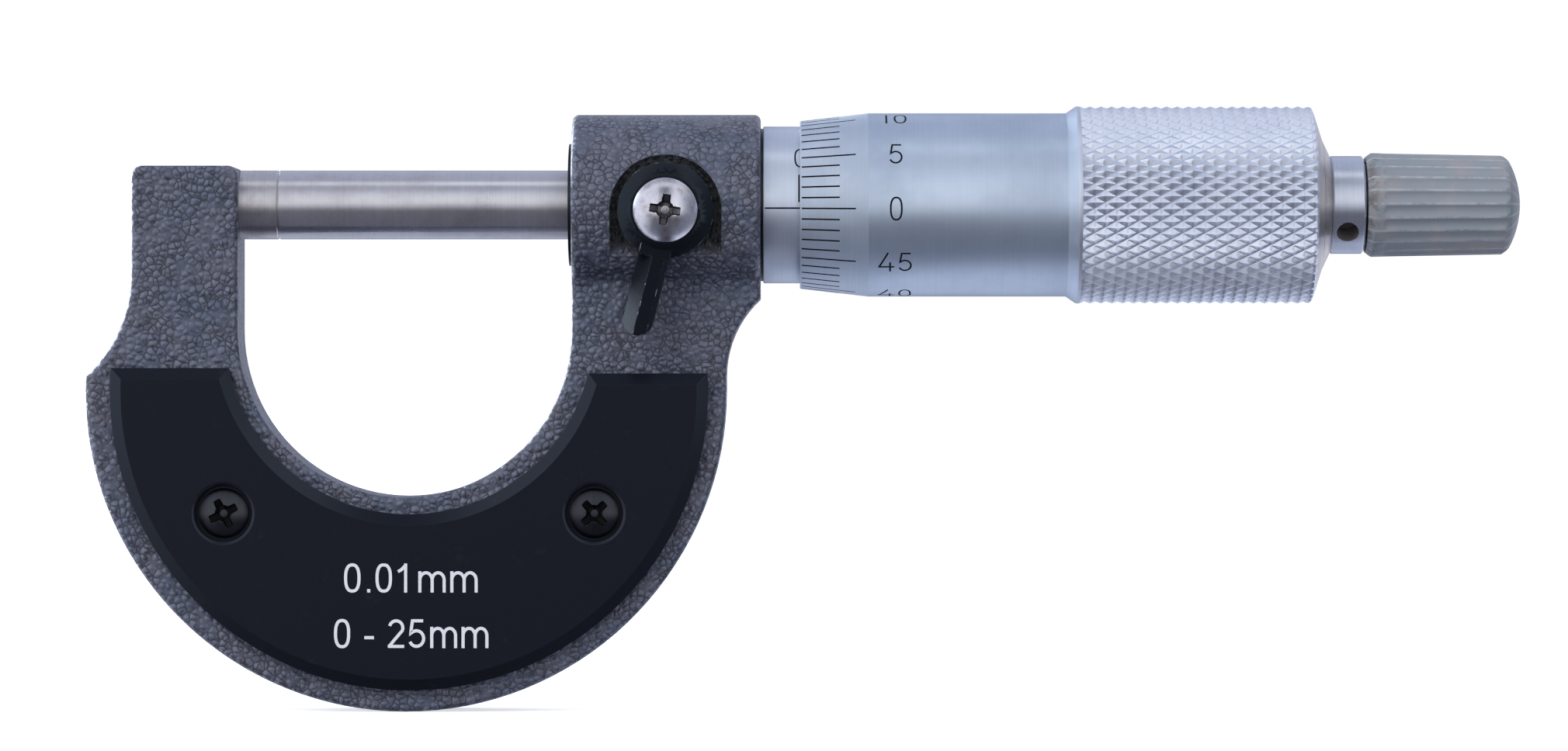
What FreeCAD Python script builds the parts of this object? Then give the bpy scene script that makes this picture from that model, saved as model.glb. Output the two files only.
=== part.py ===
import FreeCAD, Part
import math
import os

import Sketcher

# Outside micrometer, 0 to 25 mm, with a friction ratchet and a lever lock.
# Millimetres and degrees. +X runs along the spindle axis from the anvil to the ratchet, -Y is the
# front with the lock lever, +Z is up. The origin is the centre of the anvil's measuring face.
# The spindle is closed on the anvil, which is reading 0.

SIZES = {
    # How far a cutting outline passes beyond the surface that it cuts
    "overcut": 1.0,
    # Frame: a C-shaped bow with an anvil leg on the left and a barrel block on the right
    "frame_half": 4.5,
    "frame_edge": 0.6,
    "leg_outer": -13.6,
    "leg_top": 3.6,
    "leg_corner": 1.0,
    "throat_middle": 12.05,
    "throat_level": -11.85,
    "throat_radius": 15.65,
    "bow_middle": 12.15,
    "bow_level": -17.6,
    "bow_radius": 30.05,
    "toe_tip": -17.87,
    "toe_level": -16.2,
    "toe_top": -6.3,
    "toe_sweep": 13.4,
    "heel_level": -16.2,
    "heel_top": -8.91,
    "heel_sweep": 9.9,
    "barrel_back": 45.4,
    "barrel_radius": 8.5,
    "barrel_blend": 2.2,
    # Anvil: a stepped pin pressed into the leg
    "anvil_radius": 3.25,
    "anvil_shank": 2.75,
    "anvil_depth": 8.0,
    "lapped_edge": 0.15,
    # Insulating plates and their screws
    "plate_thickness": 1.5,
    "plate_bevel": 1.05,
    "plate_bevel_depth": 0.55,
    "plate_middle": 12.5,
    "plate_throat_radius": 17.25,
    "plate_bow_radius": 28.0,
    "plate_left_top": -15.4,
    "plate_left_outer": -15.41,
    "plate_left_inner": -4.38,
    "plate_right_top": -15.9,
    "plate_right_inner": 29.27,
    "plate_right_outer": 40.45,
    "plate_screw_offset": 17.35,
    "plate_screw_level": -29.0,
    "plate_screw_thread": 1.25,
    "plate_screw_length": 3.4,
    "plate_screw_head": 2.335,
    "plate_screw_rim": 0.35,
    "plate_screw_rise": 1.0,
    "plate_screw_crown": 4.52,
    "plate_recess_radius": 2.6,
    "plate_recess_lip": 0.4,
    "plate_recess_floor": 0.4,
    "cross_arm": 1.38,
    "cross_half_width": 0.38,
    "cross_depth": 0.6,
    # Spindle lock: lever, screw, threaded stud and brass plug on one axis across the barrel block
    "lock_along": 36.55,
    "lock_level": -0.7,
    "recess_floor": 6.9,
    "recess_half_width": 5.25,
    "recess_bottom": -7.5,
    "lever_back": 7.1,
    "hub_radius": 4.5,
    "hub_height": 2.5,
    "hub_chamfer": 0.9,
    "hub_slope": 1.35,
    "arm_half_width": 1.45,
    "arm_length": 12.0,
    "arm_height": 2.1,
    "arm_flank": 1.3,
    "arm_flank_foot": 0.3,
    "arm_edge": 0.4,
    "arm_tilt": 14.0,
    "stud_radius": 3.0,
    "stud_clearance": 0.03,
    "stud_length": 2.7,
    "spigot_radius": 2.2,
    "spigot_height": 1.2,
    "lock_thread": 1.5,
    "lock_thread_length": 2.8,
    "lock_head_radius": 3.0,
    "lock_head_rim": 0.3,
    "lock_head_rise": 1.7,
    "lock_head_crown": 3.914,
    "lock_cross_arm": 1.4,
    "lock_cross_half_width": 0.38,
    "plug_radius": 2.2,
    "plug_clearance": 0.05,
    "plug_outer": 4.35,
    "plug_inner": 2.9,
    "plug_gap": 0.03,
    "plug_hole_outer": 4.2,
    # Spindle
    "spindle_radius": 3.25,
    "shank_end": 43.5,
    "thread_radius": 3.75,
    "thread_lead": 0.4,
    "thread_end": 84.0,
    "taper_radius": 3.6,
    "taper_tip": 96.5,
    "taper_tip_radius": 2.9,
    "stem_radius": 2.0,
    "stem_hole_start": 88.0,
    # Inner sleeve: guide bush and nut in one piece, and the nut that closes its slit end
    "collar_face": 27.35,
    "collar_radius": 5.75,
    "flange_end": 45.65,
    "flange_radius": 7.2,
    "seat_radius": 6.6,
    "seat_end": 76.0,
    "threaded_end": 82.0,
    "threaded_end_radius": 5.8,
    "guide_bore": 3.27,
    "guide_end": 43.0,
    "relief_bore": 4.2,
    "nut_start": 70.0,
    "nut_bore": 3.78,
    "slit_start": 72.0,
    "slit_half_width": 0.3,
    "adjuster_front": 76.3,
    "adjuster_back": 80.5,
    "adjuster_radius": 7.0,
    "adjuster_notch": 6.2,
    "notch_half_width": 0.8,
    # Graduated sleeve and thimble
    "sleeve_radius": 7.4,
    "sleeve_chamfer": 0.15,
    "thimble_front": 49.1,
    "thimble_bore": 7.6,
    "thimble_lip": 7.9,
    "bevel_end": 55.5,
    "thimble_radius": 8.65,
    "grip_rise": 74.15,
    "grip_start": 75.1,
    "grip_radius": 9.3,
    "grip_end": 96.6,
    "shoulder_start": 97.25,
    "shoulder_radius": 8.95,
    "shoulder_round": 0.9,
    "thimble_back": 98.2,
    "thimble_back_radius": 6.4,
    "thimble_wall": 84.5,
    "coupling_radius": 6.0,
    "coupling_shoulder": 97.2,
    # Conical washer behind the thimble
    "washer_gap": 0.02,
    "washer_bore": 2.1,
    "washer_radius": 6.3,
    "washer_end": 99.0,
    "washer_end_radius": 4.7,
    # Ratchet: shaft, two toothed rings, spring, screw and fluted cap
    "stem_start": 88.5,
    "ring_radius": 4.62,
    "ring_chamfer": 0.2,
    "ring_end": 102.2,
    "spanner_hole": 100.5,
    "spanner_radius": 1.05,
    "spanner_depth": 2.2,
    "spanner_angle": 35.6,
    "pilot_radius": 2.6,
    "pilot_end": 104.9,
    "post_radius": 1.8,
    "post_end": 112.0,
    "post_hole_start": 106.0,
    "post_hole": 1.0,
    "driven_radius": 3.9,
    "tooth_depth": 0.5,
    "tooth_half_width": 0.45,
    "tooth_gap": 0.03,
    "driving_end": 107.0,
    "driving_bore": 1.9,
    "spring_radius": 2.9,
    "spring_wire": 0.35,
    "spring_pitch": 1.0,
    "spring_length": 4.0,
    "spring_start": 107.4,
    "keeper_radius": 3.6,
    "keeper_end": 113.4,
    "keeper_tip": 106.5,
    "cap_front": 102.4,
    "cap_bore": 4.05,
    "cap_lip": 4.5,
    "cap_chamfer_end": 102.95,
    "cap_radius": 4.9,
    "cap_taper_end": 115.3,
    "cap_taper_radius": 4.67,
    "cap_corner": 115.95,
    "cap_corner_radius": 4.1,
    "cap_dome": 8.6,
    "cap_end": 117.0,
    "cap_floor": 114.6,
    "flute_start": 104.0,
    "flute_cutter": 0.95,
    "flute_depth": 0.2,
}
COUNTS = {
    "slit_count": 3,
    "notch_count": 4,
    "tooth_count": 12,
    "flute_count": 23,
}
LEFT = 1.0
RIGHT = -1.0

doc = FreeCAD.newDocument("OutsideMicrometer")
sheet = doc.addObject("Spreadsheet::Sheet", "dims")
for row, (alias, size) in enumerate({**SIZES, **COUNTS}.items(), start=1):
    sheet.set("A%d" % row, alias)
    sheet.set("B%d" % row, str(size))
    sheet.setAlias("B%d" % row, alias)
doc.recompute()


def value(words):
    """The number that a sum of aliases and plain numbers comes to, such as 'seat_end - 2'."""
    total = 0.0
    sign = 1.0
    for word in words.split():
        if word in ("+", "-"):
            sign = 1.0 if word == "+" else -1.0
        elif word[0].isalpha():
            total += sign * sheet.get(word)
        else:
            total += sign * float(word)
    return total


def formula(words):
    """The same sum as an expression that reads the sheet."""
    return " ".join("dims." + word if word[0].isalpha() else word for word in words.split())


def bind(feature, **sizes):
    """Bind properties of a feature to sums of the sheet's aliases."""
    for name, words in sizes.items():
        feature.setExpression(name, formula(words))


def new_body(label):
    body = doc.addObject("PartDesign::Body", label)
    body.Label = label
    return body


def new_sketch(body, name, plane="XZ_Plane", lift=None):
    """A sketch on one of the body's own origin planes, lifted along that plane's normal."""
    sketch = body.newObject("Sketcher::SketchObject", body.Name + "_" + name)
    origin_plane = [item for item in body.Origin.OriginFeatures if item.Role == plane][0]
    sketch.AttachmentSupport = [(origin_plane, "")]
    sketch.MapMode = "FlatFace"
    if lift:
        sketch.setExpression("AttachmentOffset.Base.z", formula(lift))
    return sketch


def arc_through(start, end, radius, turn):
    """The arc of under half a turn from start to end, with its centre on the side it turns to."""
    chord = end - start
    left = FreeCAD.Vector(-chord.y, chord.x, 0).normalize()
    height = math.sqrt(radius ** 2 - (chord.Length / 2) ** 2)
    centre = start + chord / 2 + left * (turn * height)
    first, last = (start, end) if turn == LEFT else (end, start)
    circle = Part.Circle(centre, FreeCAD.Vector(0, 0, 1), radius)
    angles = [math.atan2(point.y - centre.y, point.x - centre.x) for point in (first, last)]
    return Part.ArcOfCircle(circle, angles[0], angles[1])


def add_outline(sketch, corners):
    """A closed outline. A corner is (across, up), or (across, up, radius, turn) if an arc ends there."""
    points = [FreeCAD.Vector(value(corner[0]), value(corner[1]), 0) for corner in corners]
    ends = []
    for index, corner in enumerate(corners):
        if len(corner) == 2:
            edge = Part.LineSegment(points[index - 1], points[index])
            ends.append((1, 2))
        else:
            edge = arc_through(points[index - 1], points[index], value(corner[2]), corner[3])
            ends.append((1, 2) if corner[3] == LEFT else (2, 1))
        geometry = sketch.addGeometry(edge)
        if len(corner) == 4:
            pin_size(sketch, "Radius", (geometry,), corner[2])
    for index, corner in enumerate(corners):
        follower = (index + 1) % len(corners)
        joint = Sketcher.Constraint("Coincident", index, ends[index][1], follower, ends[follower][0])
        sketch.addConstraint(joint)
        pin_size(sketch, "DistanceX", (-1, 1, index, ends[index][1]), corner[0])
        pin_size(sketch, "DistanceY", (-1, 1, index, ends[index][1]), corner[1])


def pin_size(sketch, kind, places, words):
    """A dimension of a sketch, bound to the sheet."""
    index = sketch.addConstraint(Sketcher.Constraint(kind, *places, value(words)))
    sketch.setExpression("Constraints[%d]" % index, formula(words))


def add_circle(sketch, across, up, radius):
    centre = FreeCAD.Vector(value(across), value(up), 0)
    circle = Part.Circle(centre, FreeCAD.Vector(0, 0, 1), value(radius))
    geometry = sketch.addGeometry(circle)
    pin_size(sketch, "DistanceX", (-1, 1, geometry, 3), across)
    pin_size(sketch, "DistanceY", (-1, 1, geometry, 3), up)
    pin_size(sketch, "Radius", (geometry,), radius)


def add_turned(body, name, corners, kind="PartDesign::Revolution"):
    """A profile in the XZ plane, turned about the body's own X axis, added or cut away."""
    sketch = new_sketch(body, name)
    add_outline(sketch, corners)
    feature = body.newObject(kind, body.Name + "_" + name + "_turned")
    feature.Profile = sketch
    feature.ReferenceAxis = (sketch, ["H_Axis"])
    feature.Angle = 360
    return feature


def turned_body(label, corners):
    body = new_body(label)
    add_turned(body, "profile", corners)
    return body


def add_pad(body, sketch, length, symmetric=False, reverse=False):
    pad = body.newObject("PartDesign::Pad", sketch.Name + "_pad")
    pad.Profile = sketch
    pad.SideType = "Symmetric" if symmetric else "One side"
    pad.Reversed = reverse
    bind(pad, Length=length)
    return pad


def add_pocket(body, sketch, length, symmetric=False, reverse=False):
    """Cut a pocket, and make sure that it took something away."""
    doc.recompute()
    before = body.Shape.Volume
    pocket = body.newObject("PartDesign::Pocket", sketch.Name + "_pocket")
    pocket.Profile = sketch
    pocket.SideType = "Symmetric" if symmetric else "One side"
    pocket.Reversed = reverse
    bind(pocket, Length=length)
    doc.recompute()
    if body.Shape.Volume >= before:
        raise RuntimeError(sketch.Name + " cuts nothing")
    return pocket


def add_polar(body, feature, count):
    """Repeat a feature about the body's own X axis."""
    pattern = body.newObject("PartDesign::PolarPattern", feature.Name + "_round")
    pattern.Originals = [feature]
    axis = [item for item in body.Origin.OriginFeatures if item.Role == "X_Axis"][0]
    pattern.Axis = (axis, [""])
    pattern.Angle = 360
    bind(pattern, Occurrences=count)
    body.Tip = pattern
    return pattern


def edges_where(shape, test):
    return ["Edge%d" % number for number, edge in enumerate(shape.Edges, start=1) if test(edge)]


def add_edge_feature(body, kind, test):
    """A fillet or chamfer on the edges that a test picks out of the body as it is so far."""
    doc.recompute()
    base = body.Tip
    feature = body.newObject(kind, body.Name + "_edges")
    feature.Base = (base, edges_where(base.Shape, test))
    return feature


def facing_front(along, depth, level, tilt=0.0):
    """Placement that turns a piece's own +X to the front, and tilts it clockwise seen from there."""
    turn = FreeCAD.Rotation(FreeCAD.Vector(0, 1, 0), tilt)
    turn = turn.multiply(FreeCAD.Rotation(FreeCAD.Vector(0, 0, 1), -90))
    return FreeCAD.Placement(FreeCAD.Vector(along, -depth, level), turn)


def facing_back(along, depth, level):
    """Placement that turns a piece's own +X to the back."""
    turn = FreeCAD.Rotation(FreeCAD.Vector(0, 0, 1), 90)
    return FreeCAD.Placement(FreeCAD.Vector(along, depth, level), turn)


def make_frame():
    leg_face = "throat_middle - throat_radius"
    barrel_face = "throat_middle + throat_radius"
    bow_right = "bow_middle + bow_radius"
    body = new_body("frame")
    sketch = new_sketch(body, "outline")
    add_outline(sketch, [
        ("leg_outer", "leg_top - leg_corner"),
        ("leg_outer + leg_corner", "leg_top", "leg_corner", RIGHT),
        (leg_face + " - leg_corner", "leg_top"),
        (leg_face, "leg_top - leg_corner", "leg_corner", RIGHT),
        (leg_face, "throat_level"),
        ("throat_middle", "throat_level - throat_radius", "throat_radius", LEFT),
        (barrel_face, "throat_level", "throat_radius", LEFT),
        (barrel_face, "0"),
        ("barrel_back", "0"),
        ("barrel_back", "heel_top"),
        (bow_right, "heel_level", "heel_sweep", LEFT),
        (bow_right, "bow_level"),
        ("bow_middle", "bow_level - bow_radius", "bow_radius", RIGHT),
        ("toe_tip", "toe_level", "bow_radius", RIGHT),
        ("leg_outer", "toe_top", "toe_sweep", LEFT),
    ])
    add_pad(body, sketch, "frame_half + frame_half", symmetric=True)

    add_turned(body, "barrel", [
        (barrel_face, "0"),
        (barrel_face, "barrel_radius"),
        ("barrel_back", "barrel_radius"),
        ("barrel_back", "0"),
    ])

    face = value("frame_half")
    block_ends = (value(barrel_face), value("barrel_back"))
    leg_end = value("heel_top")

    def on_face(edge):
        """An edge of the leg's or bow's front or back face."""
        box = edge.BoundBox
        return box.YLength < 0.001 and abs(abs(box.Center.y) - face) < 0.001

    def under_barrel(edge):
        """A level edge where the leg meets the barrel block."""
        box = edge.BoundBox
        return on_face(edge) and box.ZLength < 0.001 and box.XMin > block_ends[0] - 0.001

    def on_block_end(edge):
        box = edge.BoundBox
        near = min(abs(box.Center.x - end) for end in block_ends)
        round_part = box.YLength > 0.001 and box.ZMax > leg_end + 0.001
        return near < 0.001 and box.XLength < 0.001 and round_part

    def on_rim(edge):
        return on_block_end(edge) or (on_face(edge) and not under_barrel(edge))

    blend = add_edge_feature(body, "PartDesign::Fillet", under_barrel)
    bind(blend, Radius="barrel_blend")
    rounding = add_edge_feature(body, "PartDesign::Fillet", on_rim)
    bind(rounding, Radius="frame_edge")
    add_turned(body, "sleeve_bore", [
        (barrel_face + " - overcut", "0"),
        (barrel_face + " - overcut", "collar_radius"),
        ("barrel_back + overcut", "collar_radius"),
        ("barrel_back + overcut", "0"),
    ], "PartDesign::Groove")
    add_turned(body, "anvil_bore", [
        (leg_face + " - anvil_depth", "0"),
        (leg_face + " - anvil_depth", "anvil_shank"),
        (leg_face + " + overcut", "anvil_shank"),
        (leg_face + " + overcut", "0"),
    ], "PartDesign::Groove")

    recess = new_sketch(body, "lever_recess", lift="recess_floor")
    add_outline(recess, [
        ("lock_along - recess_half_width", "lock_level"),
        ("lock_along", "lock_level + recess_half_width", "recess_half_width", RIGHT),
        ("lock_along + recess_half_width", "lock_level", "recess_half_width", RIGHT),
        ("lock_along + recess_half_width", "recess_bottom"),
        ("lock_along - recess_half_width", "recess_bottom"),
    ])
    add_pocket(body, recess, "barrel_radius - recess_floor + overcut", reverse=True)
    stud_hole = new_sketch(body, "stud_hole", lift="recess_floor")
    add_circle(stud_hole, "lock_along", "lock_level", "stud_radius + stud_clearance")
    add_pocket(body, stud_hole, "recess_floor - stud_radius")
    screw_holes = new_sketch(body, "plate_screw_holes")
    for side in ("-", "+"):
        across = "plate_middle %s plate_screw_offset" % side
        add_circle(screw_holes, across, "plate_screw_level", "plate_screw_thread")
    add_pocket(body, screw_holes, "frame_half + frame_half + overcut", symmetric=True)
    return body


def make_anvil():
    leg_face = "throat_middle - throat_radius"
    return turned_body("anvil", [
        (leg_face + " - anvil_depth", "0"),
        (leg_face + " - anvil_depth", "anvil_shank"),
        (leg_face, "anvil_shank"),
        (leg_face, "anvil_radius"),
        ("0 - lapped_edge", "anvil_radius"),
        ("0", "anvil_radius - lapped_edge"),
        ("0", "0"),
    ])


def make_plate(label, placement):
    """Crescent-shaped plate, made for the front face of the frame."""
    body = new_body(label)
    outline = new_sketch(body, "outline", lift="frame_half")
    add_outline(outline, [
        ("plate_left_inner", "plate_left_top"),
        ("plate_middle", "throat_level - plate_throat_radius", "plate_throat_radius", LEFT),
        ("plate_right_inner", "plate_right_top", "plate_throat_radius", LEFT),
        ("plate_right_outer", "plate_right_top"),
        ("plate_middle", "bow_level - plate_bow_radius", "plate_bow_radius", RIGHT),
        ("plate_left_outer", "plate_left_top", "plate_bow_radius", RIGHT),
    ])
    add_pad(body, outline, "plate_thickness")
    front = -value("frame_half + plate_thickness")

    def on_front(edge):
        return edge.BoundBox.YLength < 0.001 and abs(edge.BoundBox.Center.y - front) < 0.001

    bevel = add_edge_feature(body, "PartDesign::Chamfer", on_front)
    bevel.ChamferType = "Two distances"
    bind(bevel, Size="plate_bevel_depth", Size2="plate_bevel")
    for name, radius, depth in (
            ("recesses", "plate_recess_radius", "plate_thickness - plate_recess_floor"),
            ("holes", "plate_screw_thread", "plate_thickness + overcut")):
        holes = new_sketch(body, name, lift="frame_half + plate_thickness")
        for side in ("-", "+"):
            across = "plate_middle %s plate_screw_offset" % side
            add_circle(holes, across, "plate_screw_level", radius)
        add_pocket(body, holes, depth)

    def on_recess(edge):
        return on_front(edge) and abs(edge.Length - around) < 0.001

    around = 2 * math.pi * value("plate_recess_radius")
    bind(add_edge_feature(body, "PartDesign::Fillet", on_recess), Radius="plate_recess_lip")
    body.Placement = placement
    return body


def add_cross(body, arm, half_width, top, depth):
    """Cross recess in the end of a screw that faces its own +X."""
    sketch = new_sketch(body, "cross", "YZ_Plane", lift=top)
    long_side = ("0 - " + arm, "0 - " + half_width, half_width, arm)
    add_outline(sketch, [
        (long_side[3], long_side[1]),
        (long_side[3], long_side[2]),
        (long_side[2], long_side[2]),
        (long_side[2], long_side[3]),
        (long_side[1], long_side[3]),
        (long_side[1], long_side[2]),
        (long_side[0], long_side[2]),
        (long_side[0], long_side[1]),
        (long_side[1], long_side[1]),
        (long_side[1], long_side[0]),
        (long_side[2], long_side[0]),
        (long_side[2], long_side[1]),
    ])
    add_pocket(body, sketch, depth)


def make_plate_screw(label, placement):
    body = turned_body(label, [
        ("0 - plate_screw_length", "0"),
        ("0 - plate_screw_length", "plate_screw_thread"),
        ("0", "plate_screw_thread"),
        ("0", "plate_screw_head"),
        ("plate_screw_rim", "plate_screw_head"),
        ("plate_screw_rise", "0", "plate_screw_crown", RIGHT),
    ])
    add_cross(body, "cross_arm", "cross_half_width", "plate_screw_rise", "cross_depth")
    body.Placement = placement
    return body


def make_inner_sleeve():
    body = turned_body("inner_sleeve", [
        ("collar_face", "guide_bore"),
        ("collar_face", "collar_radius"),
        ("barrel_back", "collar_radius"),
        ("barrel_back", "flange_radius"),
        ("flange_end", "flange_radius"),
        ("flange_end", "seat_radius"),
        ("seat_end", "seat_radius"),
        ("seat_end", "threaded_end_radius"),
        ("threaded_end", "threaded_end_radius"),
        ("threaded_end", "nut_bore"),
        ("nut_start", "nut_bore"),
        ("nut_start", "relief_bore"),
        ("guide_end", "relief_bore"),
        ("guide_end", "guide_bore"),
    ])
    for name, lift, radius, depth in (
            ("stud_hole", "collar_radius", "stud_radius + stud_clearance", "collar_radius - plug_hole_outer"),
            ("plug_hole", "collar_radius", "plug_radius + plug_clearance", "collar_radius")):
        hole = new_sketch(body, name, lift=lift)
        add_circle(hole, "lock_along", "lock_level", radius)
        add_pocket(body, hole, depth)
    slit = new_sketch(body, "slit", "XY_Plane")
    add_outline(slit, [
        ("slit_start", "0 - slit_half_width"),
        ("threaded_end + overcut", "0 - slit_half_width"),
        ("threaded_end + overcut", "slit_half_width"),
        ("slit_start", "slit_half_width"),
    ])
    cut = add_pocket(body, slit, "seat_radius + overcut", reverse=True)
    add_polar(body, cut, "slit_count")
    return body


def make_adjusting_nut():
    body = turned_body("adjusting_nut", [
        ("adjuster_front", "threaded_end_radius"),
        ("adjuster_front", "adjuster_radius"),
        ("adjuster_back", "adjuster_radius"),
        ("adjuster_back", "threaded_end_radius"),
    ])
    notch = new_sketch(body, "notch", "XY_Plane", lift="adjuster_notch")
    add_outline(notch, [
        ("adjuster_back - notch_half_width - notch_half_width", "0 - notch_half_width"),
        ("adjuster_back + overcut", "0 - notch_half_width"),
        ("adjuster_back + overcut", "notch_half_width"),
        ("adjuster_back - notch_half_width - notch_half_width", "notch_half_width"),
    ])
    cut = add_pocket(body, notch, "adjuster_radius - adjuster_notch + overcut", reverse=True)
    add_polar(body, cut, "notch_count")
    return body


def make_graduated_sleeve():
    return turned_body("graduated_sleeve", [
        ("flange_end", "seat_radius"),
        ("flange_end", "sleeve_radius - sleeve_chamfer"),
        ("flange_end + sleeve_chamfer", "sleeve_radius"),
        ("seat_end - sleeve_chamfer", "sleeve_radius"),
        ("seat_end", "sleeve_radius - sleeve_chamfer"),
        ("seat_end", "seat_radius"),
    ])


def make_lock_plug():
    """Brass plug with an end hollowed to the spindle's radius."""
    blank = doc.addObject("Part::Cylinder", "lock_plug_blank")
    bind(blank, Radius="plug_radius", Height="plug_outer - plug_inner")
    lay_down = FreeCAD.Rotation(FreeCAD.Vector(1, 0, 0), -90)
    corner = FreeCAD.Vector(value("lock_along"), -value("plug_outer"), value("lock_level"))
    blank.Placement = FreeCAD.Placement(corner, lay_down)
    hollow = doc.addObject("Part::Cylinder", "lock_plug_hollow")
    bind(hollow, Radius="spindle_radius + plug_gap", Height="plug_radius + plug_radius + overcut + overcut")
    along_x = FreeCAD.Rotation(FreeCAD.Vector(0, 1, 0), 90)
    start = FreeCAD.Vector(value("lock_along - plug_radius - overcut"), 0, 0)
    hollow.Placement = FreeCAD.Placement(start, along_x)
    plug = doc.addObject("Part::Cut", "lock_plug")
    plug.Base = blank
    plug.Tool = hollow
    return plug


def make_lock_lever(placement):
    """Round hub with an arm that hangs from it, with a broad facet on one flank and a narrow one."""
    body = turned_body("lock_lever", [
        ("0", "spigot_radius"),
        ("0", "hub_radius"),
        ("hub_height - hub_chamfer", "hub_radius"),
        ("hub_height", "hub_radius - hub_slope"),
        ("hub_height", "lock_thread"),
        ("spigot_height", "lock_thread"),
        ("spigot_height", "spigot_radius"),
    ])
    arm = new_sketch(body, "arm", "YZ_Plane")
    add_outline(arm, [
        ("0 - arm_half_width", "0 - spigot_radius - overcut"),
        ("0 - arm_half_width", "arm_half_width - arm_length"),
        ("0", "0 - arm_length", "arm_half_width", LEFT),
        ("arm_half_width", "arm_half_width - arm_length", "arm_half_width", LEFT),
        ("arm_half_width", "0 - spigot_radius - overcut"),
    ])
    add_pad(body, arm, "arm_height")
    flank = [
        ("arm_height", "arm_flank - arm_half_width"),
        ("arm_flank_foot", "0 - arm_half_width"),
        ("arm_flank_foot", "0 - arm_half_width - overcut"),
        ("arm_height + overcut", "0 - arm_half_width - overcut"),
        ("arm_height + overcut", "arm_flank - arm_half_width"),
    ]
    edge = [
        ("arm_height", "arm_half_width - arm_edge"),
        ("arm_height + overcut", "arm_half_width - arm_edge"),
        ("arm_height + overcut", "arm_half_width + overcut"),
        ("arm_height - arm_edge", "arm_half_width + overcut"),
        ("arm_height - arm_edge", "arm_half_width"),
    ]
    for name, outline in (("flank", flank), ("edge", edge)):
        facet = new_sketch(body, name, "XY_Plane", lift="0 - arm_length - overcut")
        add_outline(facet, outline)
        add_pocket(body, facet, "arm_length + overcut - hub_radius", reverse=True)
    body.Placement = placement
    return body


def make_lock_stud(placement):
    body = turned_body("lock_stud", [
        ("0 - stud_length", "0"),
        ("0 - stud_length", "stud_radius"),
        ("0", "stud_radius"),
        ("0", "spigot_radius"),
        ("spigot_height", "spigot_radius"),
        ("spigot_height", "lock_thread"),
        ("spigot_height - lock_thread_length", "lock_thread"),
        ("spigot_height - lock_thread_length", "0"),
    ])
    body.Placement = placement
    return body


def make_lock_screw(placement):
    body = turned_body("lock_screw", [
        ("spigot_height - lock_thread_length", "0"),
        ("spigot_height - lock_thread_length", "lock_thread"),
        ("hub_height", "lock_thread"),
        ("hub_height", "lock_head_radius"),
        ("hub_height + lock_head_rim", "lock_head_radius"),
        ("hub_height + lock_head_rise", "0", "lock_head_crown", RIGHT),
    ])
    top = "hub_height + lock_head_rise"
    add_cross(body, "lock_cross_arm", "lock_cross_half_width", top, "cross_depth + cross_depth")
    body.Placement = placement
    return body


def make_spindle():
    return turned_body("spindle", [
        ("0", "0"),
        ("0", "spindle_radius - lapped_edge"),
        ("lapped_edge", "spindle_radius"),
        ("shank_end", "spindle_radius"),
        ("shank_end + thread_lead", "thread_radius"),
        ("thread_end", "thread_radius"),
        ("thread_end", "taper_radius"),
        ("taper_tip", "taper_tip_radius"),
        ("taper_tip", "stem_radius"),
        ("stem_hole_start", "stem_radius"),
        ("stem_hole_start", "0"),
    ])


def make_thimble():
    return turned_body("thimble", [
        ("thimble_front", "thimble_bore"),
        ("thimble_front", "thimble_lip"),
        ("bevel_end", "thimble_radius"),
        ("grip_rise", "thimble_radius"),
        ("grip_start", "grip_radius"),
        ("grip_end", "grip_radius"),
        ("shoulder_start", "shoulder_radius", "shoulder_round", RIGHT),
        ("thimble_back", "thimble_back_radius"),
        ("thimble_back", "coupling_radius"),
        ("thimble_wall", "coupling_radius"),
        ("thimble_wall", "thimble_bore"),
    ])


def make_taper_coupling():
    return turned_body("taper_coupling", [
        ("thread_end", "taper_radius"),
        ("thimble_wall", "coupling_radius"),
        ("thimble_back", "coupling_radius"),
        ("thimble_back", "washer_bore"),
        ("coupling_shoulder", "washer_bore"),
        ("coupling_shoulder", "taper_tip_radius"),
        ("taper_tip", "taper_tip_radius"),
    ])


def make_end_washer():
    return turned_body("end_washer", [
        ("thimble_back + washer_gap", "washer_bore"),
        ("thimble_back + washer_gap", "washer_radius"),
        ("washer_end - washer_gap", "washer_end_radius"),
        ("washer_end - washer_gap", "washer_bore"),
    ])


def make_ratchet_shaft():
    body = turned_body("ratchet_shaft", [
        ("stem_start", "0"),
        ("stem_start", "stem_radius"),
        ("washer_end", "stem_radius"),
        ("washer_end", "ring_radius - ring_chamfer"),
        ("washer_end + ring_chamfer", "ring_radius"),
        ("ring_end - ring_chamfer", "ring_radius"),
        ("ring_end", "ring_radius - ring_chamfer"),
        ("ring_end", "pilot_radius"),
        ("pilot_end", "pilot_radius"),
        ("pilot_end", "post_radius"),
        ("post_end", "post_radius"),
        ("post_end", "post_hole"),
        ("post_hole_start", "post_hole"),
        ("post_hole_start", "0"),
    ])
    hole = new_sketch(body, "spanner_hole", lift="ring_radius")
    add_circle(hole, "spanner_hole", "0", "spanner_radius")
    add_pocket(body, hole, "spanner_depth")
    body.Placement = FreeCAD.Placement(
        FreeCAD.Vector(0, 0, 0),
        FreeCAD.Rotation(FreeCAD.Vector(1, 0, 0), value("spanner_angle")))
    return body


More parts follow.
